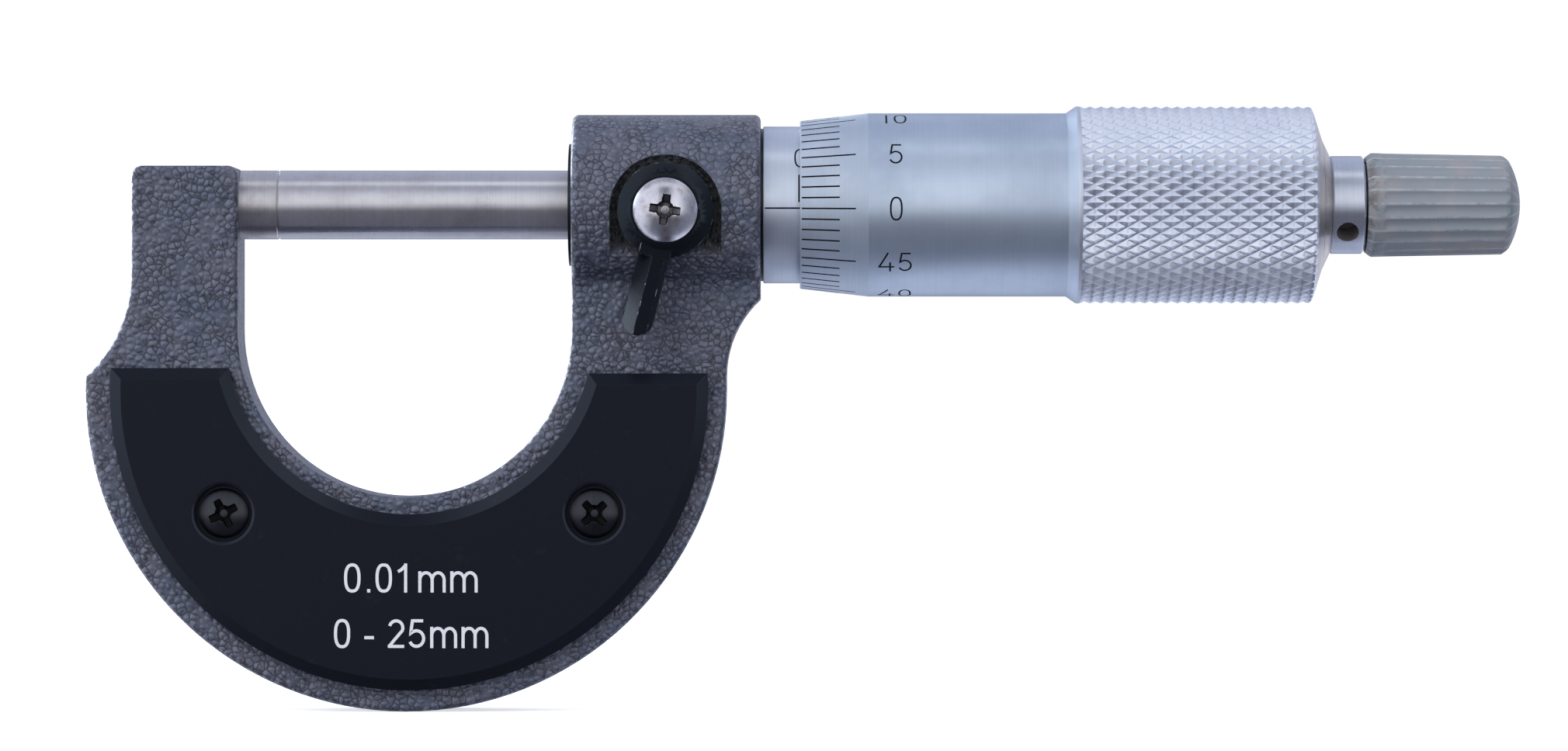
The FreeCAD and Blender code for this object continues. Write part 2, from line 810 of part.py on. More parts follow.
def add_face_teeth(body, face, depth):
    """Saw teeth round a ring's flat face: radial notches that slope down from the face."""
    notch = new_sketch(body, "notch", "XY_Plane")
    add_outline(notch, [
        (face, "0 - tooth_half_width"),
        (depth, "tooth_half_width"),
        (face, "tooth_half_width"),
    ])
    cut = add_pocket(body, notch, "cap_radius", reverse=True)
    add_polar(body, cut, "tooth_count")


def make_driven_ratchet():
    body = turned_body("driven_ratchet", [
        ("ring_end", "pilot_radius"),
        ("ring_end", "driven_radius"),
        ("pilot_end", "driven_radius"),
        ("pilot_end", "pilot_radius"),
    ])
    add_face_teeth(body, "pilot_end", "pilot_end - tooth_depth")
    return body


def make_driving_ratchet():
    body = turned_body("driving_ratchet", [
        ("pilot_end + tooth_gap", "driving_bore"),
        ("pilot_end + tooth_gap", "cap_bore"),
        ("driving_end", "cap_bore"),
        ("driving_end", "driving_bore"),
    ])
    add_face_teeth(body, "pilot_end + tooth_gap", "pilot_end + tooth_gap + tooth_depth")
    return body


def make_ratchet_spring():
    """Open helical spring, a round wire swept along its helix."""
    radius = value("spring_radius")
    helix = Part.makeHelix(value("spring_pitch"), value("spring_length"), radius)
    start = FreeCAD.Vector(radius, 0, 0)
    wire_end = Part.makeCircle(value("spring_wire"), start, FreeCAD.Vector(0, 1, 0))
    coil = Part.Wire(helix.Edges).makePipeShell([Part.Wire([wire_end])], True, True)
    spring = doc.addObject("Part::Feature", "ratchet_spring")
    spring.Shape = coil
    spring.Placement = FreeCAD.Placement(
        FreeCAD.Vector(value("spring_start"), 0, 0),
        FreeCAD.Rotation(FreeCAD.Vector(0, 1, 0), 90))
    return spring


def make_retaining_screw():
    return turned_body("ratchet_retaining_screw", [
        ("keeper_tip", "0"),
        ("keeper_tip", "post_hole"),
        ("post_end", "post_hole"),
        ("post_end", "keeper_radius"),
        ("keeper_end", "keeper_radius"),
        ("keeper_end", "0"),
    ])


def make_ratchet_cap():
    """Blind fluted cap with a slight taper and a domed end."""
    body = turned_body("ratchet_cap", [
        ("cap_front", "cap_bore"),
        ("cap_front", "cap_lip"),
        ("cap_chamfer_end", "cap_radius"),
        ("cap_taper_end", "cap_taper_radius"),
        ("cap_corner", "cap_corner_radius"),
        ("cap_end", "0", "cap_dome", RIGHT),
        ("cap_floor", "0"),
        ("cap_floor", "cap_bore"),
    ])
    fall = value("cap_radius - cap_taper_radius")
    run = value("cap_taper_end - cap_chamfer_end")
    flute = new_sketch(body, "flute", "YZ_Plane")
    flute.AttachmentOffset = FreeCAD.Placement(
        FreeCAD.Vector(0, value("cap_radius"), value("flute_start")),
        FreeCAD.Rotation(FreeCAD.Vector(1, 0, 0), math.degrees(math.atan2(fall, run))))
    add_circle(flute, "0", "flute_cutter - flute_depth", "flute_cutter")
    cut = add_pocket(body, flute, "cap_end - flute_start + overcut", reverse=True)
    add_polar(body, cut, "flute_count")
    return body


def make_parts():
    """Every sub-part, each with its own label and placement."""
    along = value("lock_along")
    level = value("lock_level")
    lever_back = value("lever_back")
    tilt = value("arm_tilt")
    screw_seat = value("frame_half + plate_recess_floor")
    screw_level = value("plate_screw_level")
    turned_over = FreeCAD.Placement(
        FreeCAD.Vector(2 * value("plate_middle"), 0, 0),
        FreeCAD.Rotation(FreeCAD.Vector(0, 0, 1), 180))
    parts = [
        make_frame(),
        make_anvil(),
        make_plate("front_insulating_plate", FreeCAD.Placement()),
        make_plate("rear_insulating_plate", turned_over),
        make_inner_sleeve(),
        make_adjusting_nut(),
        make_graduated_sleeve(),
        make_lock_plug(),
        make_lock_lever(facing_front(along, lever_back, level, tilt)),
        make_lock_stud(facing_front(along, lever_back, level)),
        make_lock_screw(facing_front(along, lever_back, level)),
        make_spindle(),
        make_thimble(),
        make_taper_coupling(),
        make_end_washer(),
        make_ratchet_shaft(),
        make_driven_ratchet(),
        make_driving_ratchet(),
        make_ratchet_spring(),
        make_retaining_screw(),
        make_ratchet_cap(),
    ]
    for side, words in (
            ("left", "plate_middle - plate_screw_offset"),
            ("right", "plate_middle + plate_screw_offset")):
        across = value(words)
        front = facing_front(across, screw_seat, screw_level)
        back = facing_back(across, screw_seat, screw_level)
        parts.append(make_plate_screw("front_plate_screw_" + side, front))
        parts.append(make_plate_screw("rear_plate_screw_" + side, back))
    return parts


def check(parts):
    """Stop before anything is written if an object failed or a sub-part has no sound shape."""
    doc.recompute()
    for item in doc.Objects:
        if "Invalid" in item.State or "Error" in item.State:
            raise RuntimeError(item.Name + " failed: " + ", ".join(item.State))
    for part in parts:
        if part.Shape.isNull() or not part.Shape.isValid() or not part.Shape.Solids:
            raise RuntimeError(part.Label + " has no sound shape")


sub_parts = make_parts()
check(sub_parts)
os.makedirs("parts", exist_ok=True)
for sub_part in sub_parts:
    sub_part.Shape.exportStep("parts/" + sub_part.Label + ".step")
    box = sub_part.Shape.BoundBox
    print("%-26s %8.1f mm3  X %6.2f %6.2f  Y %6.2f %6.2f  Z %6.2f %6.2f" % (
        sub_part.Label, sub_part.Shape.Volume,
        box.XMin, box.XMax, box.YMin, box.YMax, box.ZMin, box.ZMax))
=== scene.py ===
"""Looks of an outside micrometer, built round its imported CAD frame.

Lengths are millimetres until a mesh is made, and angles about the spindle axis are counted from the
front (-Y) towards the top (+Z).
"""

import bmesh
import bpy
import math
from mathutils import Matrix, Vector


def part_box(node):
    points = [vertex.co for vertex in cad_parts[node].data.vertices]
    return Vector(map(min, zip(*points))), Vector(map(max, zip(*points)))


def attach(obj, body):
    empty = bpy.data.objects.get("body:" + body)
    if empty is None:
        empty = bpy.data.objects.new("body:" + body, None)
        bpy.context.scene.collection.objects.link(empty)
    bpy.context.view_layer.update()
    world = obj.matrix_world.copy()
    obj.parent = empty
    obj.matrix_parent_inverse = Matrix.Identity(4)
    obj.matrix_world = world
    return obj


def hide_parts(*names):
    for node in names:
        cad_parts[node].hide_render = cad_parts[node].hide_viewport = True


MM = 0.001
TURN = 2 * math.pi
ROUND_STEPS = 240  # sides of a plain turned piece
FLUTES = 23  # grooves round the ratchet cap

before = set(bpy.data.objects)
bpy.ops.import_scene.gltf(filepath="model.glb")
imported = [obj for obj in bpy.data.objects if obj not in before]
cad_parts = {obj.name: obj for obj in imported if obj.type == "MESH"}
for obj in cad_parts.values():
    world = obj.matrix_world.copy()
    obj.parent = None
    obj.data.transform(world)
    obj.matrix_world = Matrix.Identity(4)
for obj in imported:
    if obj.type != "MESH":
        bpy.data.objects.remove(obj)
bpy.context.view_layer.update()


def low(node):
    """Lowest corner of a CAD node, in millimetres."""
    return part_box(node)[0] / MM


def high(node):
    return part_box(node)[1] / MM


# ---------------------------------------------------------------- materials


class Nodes:
    """Short calls for the nodes of one tree."""

    def __init__(self, tree):
        self.tree = tree

    def node(self, kind, inputs=None, **settings):
        made = self.tree.nodes.new(kind)
        for name, value in settings.items():
            setattr(made, name, value)
        for name, value in (inputs or {}).items():
            self.feed(made.inputs[name], value)
        return made

    def feed(self, socket, value):
        if isinstance(value, bpy.types.NodeSocket):
            self.tree.links.new(value, socket)
        elif isinstance(value, tuple) and socket.type == "RGBA":
            socket.default_value = (*value, 1.0)
        else:
            socket.default_value = value

    def maths(self, operation, a, b=0.0):
        return self.node("ShaderNodeMath", {0: a, 1: b}, operation=operation).outputs[0]

    def mix(self, share, a, b):
        return self.node("ShaderNodeMix", {0: share, 6: a, 7: b}, data_type="RGBA").outputs[2]

    def axes(self, vector):
        """The X, Y and Z of a vector, and its angle about the X axis from the front to the top."""
        parts = self.node("ShaderNodeSeparateXYZ", {"Vector": vector}).outputs
        forward = self.maths("MULTIPLY", parts["Y"], -1.0)
        return parts["X"], parts["Y"], parts["Z"], self.maths("ARCTAN2", parts["Z"], forward)


class Paint(Nodes):
    """One material, with short calls for its textures."""

    def __init__(self, name, **shader):
        self.material = bpy.data.materials.new(name)
        self.material.use_nodes = True
        super().__init__(self.material.node_tree)
        self.shader = self.tree.nodes["Principled BSDF"]
        self.place = self.node("ShaderNodeTexCoord").outputs["Object"]
        self.set(**shader)

    def set(self, **inputs):
        for name, value in inputs.items():
            self.feed(self.shader.inputs[name.replace("_", " ")], value)

    def stretched(self, x, y, z):
        """Object coordinates scaled per axis, in repeats a metre."""
        return self.node("ShaderNodeMapping", {"Vector": self.place, "Scale": (x, y, z)}).outputs[0]

    def noise(self, scale, detail=2.0, rough=0.5, at=None, output="Fac"):
        made = self.node("ShaderNodeTexNoise", {
            "Vector": at or self.place, "Scale": scale, "Detail": detail, "Roughness": rough})
        return made.outputs[output]

    def voronoi(self, scale, feature="F1", at=None, output="Distance"):
        made = self.node("ShaderNodeTexVoronoi", {"Vector": at or self.place, "Scale": scale},
                         feature=feature)
        if feature == "SMOOTH_F1":
            self.feed(made.inputs["Smoothness"], 0.25)
        return made.outputs[output]

    def span(self, value, start, end, to_start=0.0, to_end=1.0):
        """Carries the range start..end to to_start..to_end, clamped and smoothed."""
        made = self.node("ShaderNodeMapRange", {
            "Value": value, "From Min": start, "From Max": end, "To Min": to_start,
            "To Max": to_end}, interpolation_type="SMOOTHSTEP")
        return made.outputs[0]

    def rubbed(self, scale, detail, start, end, most=1.0):
        """Where the mesh's wear attribute and a noise both say that the finish is rubbed away."""
        wear = self.node("ShaderNodeAttribute", attribute_name="wear").outputs["Fac"]
        patches = self.span(self.noise(scale, detail, 0.7), start, end, 0.0, most)
        return self.maths("MULTIPLY", wear, patches)

    def bump(self, height, depth, normal=None):
        """Raises the surface by up to depth millimetres."""
        inputs = {"Height": height, "Distance": depth * MM, "Strength": 1.0}
        if normal:
            inputs["Normal"] = normal
        made = self.node("ShaderNodeBump", inputs).outputs[0]
        self.set(Normal=made)
        return made


def hammertone():
    """Blue-grey hammer enamel: small rounded cells with thin dark seams, bright where edges are rubbed, black
    painted shade in the lever's pocket.
    """
    cells, wander = 1500.0, 0.00042  # cells a metre, and how far their seams stray in metres
    paint = Paint("hammertone", Metallic=0.30, Coat_Weight=0.4, Coat_Roughness=0.15)
    shift = paint.node("ShaderNodeVectorMath", {
        0: paint.noise(1000.0, 2.0, 0.5, output="Color"), 1: (wander,) * 3}, operation="MULTIPLY").outputs[0]
    at = paint.node("ShaderNodeVectorMath", {0: paint.place, 1: shift}, operation="ADD").outputs[0]
    seam = paint.span(paint.voronoi(cells, "DISTANCE_TO_EDGE", at), 0.0, 0.17, 0.10, 1.0)
    broken = paint.span(paint.noise(420.0, 3.0, 0.6), 0.42, 0.62, 0.0, 0.75)
    seam = paint.maths("MAXIMUM", seam, broken)
    cloud = paint.span(paint.noise(190.0, 4.0, 0.6), 0.36, 0.64)
    blue = paint.mix(cloud, (0.098, 0.120, 0.176), (0.134, 0.136, 0.178))
    cell = paint.node("ShaderNodeSeparateColor", {"Color": paint.voronoi(cells, "F1", at, "Color")})
    tone = paint.mix(paint.span(cell.outputs[0], 0.0, 1.0, 0.0, 0.6), blue, (0.165, 0.178, 0.236))
    colour = paint.mix(seam, (0.030, 0.030, 0.040), tone)
    # Painted shade: the pocket round the lock lever is darkened to near black
    colour = paint.mix(lever_pocket(paint), (0.006, 0.007, 0.010), colour)
    colour = paint.mix(paint.rubbed(620.0, 4.0, 0.40, 0.48), colour, (0.78, 0.80, 0.86))
    paint.set(Base_Color=colour, Roughness=paint.span(seam, 0.3, 1.0, 0.50, 0.34))
    lumps = paint.bump(paint.noise(420.0, 2.0, 0.5), 0.16)
    dome = paint.voronoi(cells, "SMOOTH_F1", at)
    paint.bump(paint.span(dome, 0.10, 0.62, 1.0, 0.0), 0.15, lumps)
    return paint.material


def lever_pocket(paint):
    """0 where painted shade blackens the pocket round the lock lever, and 1 on the rest of the frame."""
    hub = (low("lock_stud") + high("lock_stud")) / 2 * MM
    x, y, z, _ = paint.axes(paint.place)
    across = paint.maths("SUBTRACT", x, hub.x)
    up = paint.maths("SUBTRACT", z, hub.z)
    away = paint.maths("POWER", paint.maths("MAXIMUM", up, 0.0), 2.0)
    away = paint.maths("SQRT", paint.maths("ADD", paint.maths("POWER", across, 2.0), away))
    outside = paint.span(away, 0.00510, 0.00535)
    below = paint.span(up, -0.0048, -0.0028, 1.0, 0.0)
    behind = paint.span(y, -0.0060, -0.0055)
    return paint.maths("MAXIMUM", paint.maths("MAXIMUM", outside, below), behind)


def turned_steel(name, colour, dark, streaks, roughness, depth, blotch=0.5, brushed=0.85):
    """Bare metal finished on a lathe or grinder: fine lines round the X axis and faint stains."""
    paint = Paint(name, Metallic=1.0, Anisotropic=brushed, Anisotropic_Rotation=0.25)
    if brushed:
        paint.set(Tangent=paint.node("ShaderNodeTangent", direction_type="RADIAL", axis="X").outputs[0])
    lines = paint.noise(1.0, 3.0, 0.7, paint.stretched(streaks, 90.0, 90.0))
    stain = paint.noise(230.0, 5.0, 0.65)
    share = paint.maths("MULTIPLY", paint.span(stain, 0.42, 0.75), blotch)
    shade = paint.maths("ADD", share, paint.span(lines, 0.35, 0.65, 0.0, 0.16))
    paint.set(Base_Color=paint.mix(shade, colour, dark))
    haze = paint.span(paint.noise(120.0, 4.0, 0.6), 0.3, 0.7, roughness * 0.85, roughness * 1.2)
    paint.set(Roughness=haze)
    paint.bump(lines, depth)
    return paint.material


def flat_steel(name, colour, dark, roughness):
    """Bare metal with fine scratches in no one direction."""
    paint = Paint(name, Metallic=1.0)
    scratches = paint.noise(1.0, 4.0, 0.75, paint.stretched(2600.0, 2600.0, 700.0))
    stain = paint.span(paint.noise(700.0, 5.0, 0.65), 0.45, 0.75)
    paint.set(Base_Color=paint.mix(stain, colour, dark))
    paint.set(Roughness=paint.span(scratches, 0.3, 0.7, roughness * 0.7, roughness * 1.4))
    paint.bump(scratches, 0.004)
    return paint.material


def moulded(name, colour, light, roughness, grain, depth, gloss=0.5, tint=(1.0, 1.0, 1.0)):
    """Plastic or ink with a faint skin texture, handling marks and paler rubbed edges."""
    paint = Paint(name, Metallic=0.0, Specular_IOR_Level=gloss, Specular_Tint=tint)
    marks = paint.span(paint.noise(500.0, 6.0, 0.7), 0.55, 0.85)
    base = paint.mix(marks, colour, light)
    paint.set(Base_Color=paint.mix(paint.rubbed(180.0, 5.0, 0.46, 0.60, 0.3), base, (0.42, 0.44, 0.50)))
    paint.set(Roughness=paint.span(marks, 0.0, 1.0, roughness, roughness * 1.3))
    paint.bump(paint.noise(grain, 3.0, 0.6), depth)
    return paint.material


def worn_enamel(name, colour, bare, roughness):
    """Black enamel over metal, rubbed through where the mesh's wear attribute is high."""
    paint = Paint(name, Coat_Weight=0.1, Coat_Roughness=0.12, Specular_IOR_Level=0.3,
                  Specular_Tint=(0.62, 0.80, 1.0))
    rubbed = paint.rubbed(900.0, 4.0, 0.52, 0.66)
    dust = paint.span(paint.noise(1500.0, 5.0, 0.7), 0.55, 0.85, 0.0, 0.2)
    base = paint.mix(dust, colour, tuple(4 * c for c in colour))
    paint.set(Base_Color=paint.mix(rubbed, base, bare), Metallic=rubbed)
    paint.set(Roughness=paint.span(dust, 0.0, 0.2, roughness, roughness * 1.6))
    paint.bump(paint.noise(2600.0, 2.0, 0.5), 0.004)
    return paint.material


def fluted_plastic():
    """Grey plastic, paler along its ridges partly as finger wear and partly as painted highlight, and darker
    near its open end.
    """
    paint = Paint("grey_cap", Specular_IOR_Level=0.45)
    x, _, _, angle = paint.axes(paint.place)
    part = paint.maths("FRACT", paint.maths("MULTIPLY", angle, FLUTES / TURN))
    # Paler ridges: partly wear from fingers, partly painted highlight along the crests
    ridge_wear_and_highlight = paint.span(paint.maths("ABSOLUTE", paint.maths("SUBTRACT", part, 0.5)), 0.36, 0.49)
    rubbed = paint.maths("MULTIPLY", ridge_wear_and_highlight, paint.span(paint.noise(700.0, 4.0, 0.7), 0.35, 0.6))
    warm = paint.span(paint.noise(260.0, 5.0, 0.65), 0.45, 0.7)
    base = paint.mix(warm, (0.262, 0.295, 0.325), (0.325, 0.312, 0.318))
    end = low("ratchet_cap").x * MM
    # Darker near the open end, in noisy patches
    darker_near_open_end = paint.span(x, end, end + 0.0018, 0.8, 0.0)
    darker_near_open_end = paint.maths("MULTIPLY", darker_near_open_end, paint.span(paint.noise(900.0, 5.0, 0.7), 0.4, 0.65))
    base = paint.mix(darker_near_open_end, base, (0.105, 0.098, 0.090))
    paint.set(Base_Color=paint.mix(rubbed, base, (0.40, 0.43, 0.46)))
    paint.set(Roughness=paint.span(rubbed, 0.0, 1.0, 0.46, 0.32))
    paint.bump(paint.noise(3200.0, 3.0, 0.6), 0.004)
    return paint.material


# Turned steels: bare colour, colour of the stains, lines a metre, roughness, depth of the lines, and how
# strong the stains are. Flat steels: the two colours and roughness. Moulded: the colour, that of handling
# marks, roughness, and grains a metre and their depth.
CHROME = turned_steel("satin_chrome", (0.69, 0.78, 0.89), (0.51, 0.60, 0.72), 9000.0, 0.50, 0.0012, 0.25)
SLEEVE = turned_steel("sleeve_chrome", (0.80, 0.86, 0.95), (0.60, 0.66, 0.76), 9000.0, 0.50, 0.0012, 0.25)
MATT = turned_steel("matt_bevel", (0.82, 0.90, 0.99), (0.66, 0.73, 0.84), 7000.0, 0.66, 0.0010, 0.2)
KNURL = turned_steel("knurl_chrome", (0.85, 0.89, 0.97), (0.62, 0.67, 0.78), 4000.0, 0.42, 0.0010,
                     blotch=0.35, brushed=0.0)
GROUND = turned_steel("ground_steel", (0.76, 0.75, 0.78), (0.46, 0.43, 0.44), 14000.0, 0.26, 0.0008,
                      blotch=0.45, brushed=0.92)
ANVIL = turned_steel("anvil_steel", (0.68, 0.66, 0.67), (0.34, 0.30, 0.29), 8000.0, 0.32, 0.0015, 0.8)
COLLAR = turned_steel("collar_steel", (0.76, 0.81, 0.90), (0.52, 0.53, 0.58), 7000.0, 0.32, 0.0012, 0.4)
WASHER = turned_steel("washer_steel", (0.68, 0.63, 0.60), (0.42, 0.36, 0.34), 6000.0, 0.34, 0.0012, 0.6)
BLACKED = turned_steel("blacked_steel", (0.060, 0.062, 0.072), (0.025, 0.025, 0.030), 6000.0, 0.34, 0.002)
BRIGHT = flat_steel("bright_screw", (0.66, 0.65, 0.69), (0.42, 0.38, 0.38), 0.20)
# Painted shade: dark steel for the lock screw's cross recess
PAINTED_STEEL_RECESS = flat_steel("steel_recess_painted_shade", (0.16, 0.15, 0.16), (0.050, 0.045, 0.045), 0.30)
SPRING = flat_steel("spring_steel", (0.45, 0.45, 0.48), (0.25, 0.24, 0.25), 0.25)
BRASS = flat_steel("brass", (0.72, 0.52, 0.22), (0.42, 0.28, 0.12), 0.30)
PLATE = moulded("black_plate", (0.0058, 0.0066, 0.0108), (0.011, 0.013, 0.020), 0.24, 1800.0, 0.0025,
                gloss=0.40, tint=(0.72, 0.84, 1.0))
WHITE = moulded("white_ink", (0.78, 0.80, 0.84), (0.60, 0.62, 0.66), 0.45, 5200.0, 0.006)
INK = moulded("black_ink", (0.010, 0.008, 0.012), (0.030, 0.024, 0.030), 0.60, 5200.0, 0.006, 0.15)
# Painted shade: near black for the plate screws' cross recesses
PAINTED_RECESS_SHADE = moulded("recess_painted_shade", (0.0035, 0.0035, 0.0045), (0.012, 0.010, 0.010), 0.6, 2600.0, 0.004, 0.1)
# Painted shade: dark lining for the spanner hole
PAINTED_HOLE_SHADE = moulded("hole_painted_shade", (0.17, 0.155, 0.155), (0.22, 0.20, 0.20), 0.6, 2600.0, 0.004, 0.2)
LEVER = worn_enamel("black_lever", (0.0032, 0.0040, 0.0060), (0.42, 0.45, 0.52), 0.22)
CAP = fluted_plastic()
HAMMER = hammertone()


# ---------------------------------------------------------------- meshes


def settle(mesh, sharp):
    """Shades a mesh smooth, apart from edges sharper than the angle in degrees."""
    mesh.shade_smooth()
    mesh.set_sharp_from_angle(angle=math.radians(sharp))


def place_piece(name, mesh, body, material, nodes=()):
    """Makes a mesh a piece that rides on a body and stands in for the CAD nodes named."""
    mesh.materials.append(material)
    piece = bpy.data.objects.new(name, mesh)
    bpy.context.scene.collection.objects.link(piece)
    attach(piece, body)
    if nodes:
        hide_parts(*nodes)
    return piece


def build(name, points, faces, body, material, nodes=(), sharp=30.0):
    """A piece from points in millimetres and faces by point number."""
    mesh = bpy.data.meshes.new(name)
    mesh.from_pydata([Vector(point) * MM for point in points], [], faces)
    work = bmesh.new()
    work.from_mesh(mesh)
    bmesh.ops.recalc_face_normals(work, faces=work.faces)
    work.to_mesh(mesh)
    work.free()
    settle(mesh, sharp)
    return place_piece(name, mesh, body, material, nodes)


def refine(node, body, material, bevel, corner=35.0):
    """A finer copy of a CAD node: flat faces joined, sharp corners rounded, wear marked on them."""
    merged, flat, worn = 0.0004, 0.4, 6.0  # a distance in millimetres, and two angles in degrees
    work = bmesh.new()
    work.from_mesh(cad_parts[node].data)
    bmesh.ops.remove_doubles(work, verts=work.verts, dist=merged * MM)
    bmesh.ops.dissolve_limit(work, angle_limit=math.radians(flat), verts=work.verts, edges=work.edges)
    bmesh.ops.recalc_face_normals(work, faces=work.faces)
    limit = math.radians(corner)
    corners = [e for e in work.edges if len(e.link_faces) == 2 and e.calc_face_angle() > limit]
    made = bmesh.ops.bevel(work, geom=corners, offset=bevel * MM, offset_type="OFFSET", segments=5,
                           profile=0.5, affect="EDGES", clamp_overlap=True)
    rounded = set(made["faces"])
    wear = work.verts.layers.float.new("wear")
    for vertex in work.verts:
        bends = [e.calc_face_angle_signed() for e in vertex.link_edges if len(e.link_faces) == 2]
        steepest = math.degrees(max(bends, default=0.0))
        inside = rounded.issuperset(vertex.link_faces)
        vertex[wear] = min(1.0, max(0.0, (steepest - worn) / worn)) if inside else 0.0
    mesh = bpy.data.meshes.new(node + "_fine")
    work.to_mesh(mesh)
    work.free()
    mesh.materials.clear()
    settle(mesh, 32.0)
    piece = place_piece(node + "_fine", mesh, body, material, [node])
    # Large flat faces keep their own normal beside small rounded ones
    change = piece.modifiers.new("weighted", "WEIGHTED_NORMAL")
    change.keep_sharp = True
    change.weight = 60
    return piece


def softened(corners):
    """A profile of (x, r) points; a corner with a third number is rounded by about that radius."""
    points = []
    for k, corner in enumerate(corners):
        here = Vector(corner[:2])
        if len(corner) < 3:
            points.append(tuple(here))
            continue
        before = Vector(corners[k - 1][:2]) - here
        after = Vector(corners[(k + 1) % len(corners)][:2]) - here
        turn = math.pi - before.angle(after)
        reach = corner[2] * math.tan(turn / 2)
        start = here + before.normalized() * reach
        end = here + after.normalized() * reach
        steps = max(2, int(math.degrees(turn) / 15.0))
        for i in range(steps + 1):
            t = i / steps
            a = start.lerp(here, t)
            b = here.lerp(end, t)
            points.append(tuple(a.lerp(b, t)))
    return points


def lathe(profile, steps, radius_at=None, closed=False):
    """Points and faces of a profile turned about the X axis. radius_at may change each radius."""
    points, rings = [], []
    for x, r in profile:
        if r == 0.0:
            rings.append([len(points)])
            points.append((x, 0.0, 0.0))
            continue
        rings.append(list(range(len(points), len(points) + steps)))
        for k in range(steps):
            angle = TURN * k / steps
            out = radius_at(x, r, angle) if radius_at else r
            points.append((x, -out * math.cos(angle), out * math.sin(angle)))
    faces = []
    for a, b in zip(rings, rings[1:] + (rings[:1] if closed else [])):
        for k in range(steps):
            n = (k + 1) % steps
            if len(a) > 1 and len(b) > 1:
                faces.append((a[k], a[n], b[n], b[k]))
            elif len(a) > 1:
                faces.append((a[k], a[n], b[0]))
            elif len(b) > 1:
                faces.append((a[0], b[n], b[k]))
    return points, faces


def turned(name, profile, body, material, node, closed=False):
    """A plain turned piece in place of a CAD node."""
    points, faces = lathe(profile, ROUND_STEPS, closed=closed)
    return build(name, points, faces, body, material, [node])


# ---------------------------------------------------------------- strokes and lettering


def arc(cx, cy, rx, ry, start, end, steps=14):
    """Points along part of an ellipse, between two angles in degrees."""
    angles = [math.radians(start + (end - start) * i / steps) for i in range(steps + 1)]
    return [(cx + rx * math.cos(a), cy + ry * math.sin(a)) for a in angles]


def oval(cx, cy, rx, ry, steps=40):
    """A closed loop a little squarer than an ellipse."""
    power = 2.5
    loop = []
    for i in range(steps):
        c, s = math.cos(TURN * i / steps), math.sin(TURN * i / steps)
        loop.append((cx + rx * math.copysign(abs(c) ** (2 / power), c),
                     cy + ry * math.copysign(abs(s) ** (2 / power), s)))
    return loop + loop[:1]


def hump(left, right, foot, top):
    """One arch of a lower-case m, from its left stem to the foot of its right one."""
    half = (right - left) / 2
    return arc(left + half, top - half * 1.15, half, half * 1.15, 180, 0) + [(right, foot)]


# Each glyph is one unit high: how far it moves the pen, and its strokes
GLYPHS = {
    "0": (0.76, [oval(0.36, 0.5, 0.245, 0.45)]),
    "1": (0.78, [[(0.12, 0.72), (0.24, 0.78), (0.40, 0.94)], [(0.40, 1.0), (0.40, 0.0)]]),
    "2": (0.78, [arc(0.37, 0.70, 0.25, 0.24, 165, -25) + [(0.30, 0.28), (0.11, 0.06)],
                 [(0.06, 0.06), (0.67, 0.06)]]),
    "3": (0.78, [arc(0.34, 0.72, 0.22, 0.22, 160, -80) + arc(0.34, 0.28, 0.26, 0.23, 80, -160)]),
    "4": (0.84, [[(0.44, 0.98), (0.04, 0.26), (0.72, 0.26)], [(0.53, 0.50), (0.53, 0.0)]]),
    "5": (0.78, [[(0.60, 0.94), (0.20, 0.94), (0.13, 0.50)]
                 + arc(0.35, 0.33, 0.27, 0.27, 125, -155)]),
    "m": (1.17, [[(0.14, 0.0), (0.14, 0.73)], hump(0.14, 0.59, 0.0, 0.68),
                 hump(0.59, 1.03, 0.0, 0.68)]),
    ".": (0.39, [[(0.20, 0.0), (0.20, 0.12)]]),
    "-": (0.47, [[(0.04, 0.36), (0.40, 0.36)]]),
    " ": (0.39, []),
}
PLAIN_ONE = (0.42, [[(0.16, 1.0), (0.16, 0.0)]])


def ribbon(path, width, lift, sink, where):
    """A closed strip along a path. where turns (across, up, proud) into a point."""
    loop = path[0] == path[-1]
    stops = path[:-1] if loop else path
    points, count = [], len(stops)
    for k, here in enumerate(stops):
        before = stops[k - 1] if loop or k else here
        after = stops[(k + 1) % count] if loop or k < count - 1 else here
        a = Vector(here) - Vector(before)
        b = Vector(after) - Vector(here)
        a = a.normalized() if a.length else b.normalized()
        b = b.normalized() if b.length else a
        along = (a + b).normalized()
        reach = width / 2 / max(0.5, along.dot(a))
        side = Vector((-along.y, along.x)) * reach
        for edge, height in ((side, lift), (-side, lift), (-side, -sink), (side, -sink)):
            points.append(where(here[0] + edge.x, here[1] + edge.y, height))
    faces = []
    for k in range(count if loop else count - 1):
        a, b = 4 * k, 4 * ((k + 1) % count)
        for i in range(4):
            j = (i + 1) % 4
            faces.append((a + i, a + j, b + j, b + i))
    if not loop:
        faces += [(3, 2, 1, 0), tuple(4 * (count - 1) + i for i in range(4))]
    return points, faces


def divided(path, step):
    """The same path with extra points, so that it can lie on a curved surface."""
    made = [path[0]]
    for a, b in zip(path, path[1:]):
        pieces = max(1, math.ceil(math.dist(a, b) / step))
        made += [(a[0] + (b[0] - a[0]) * i / pieces, a[1] + (b[1] - a[1]) * i / pieces)
                 for i in range(1, pieces + 1)]
    return made


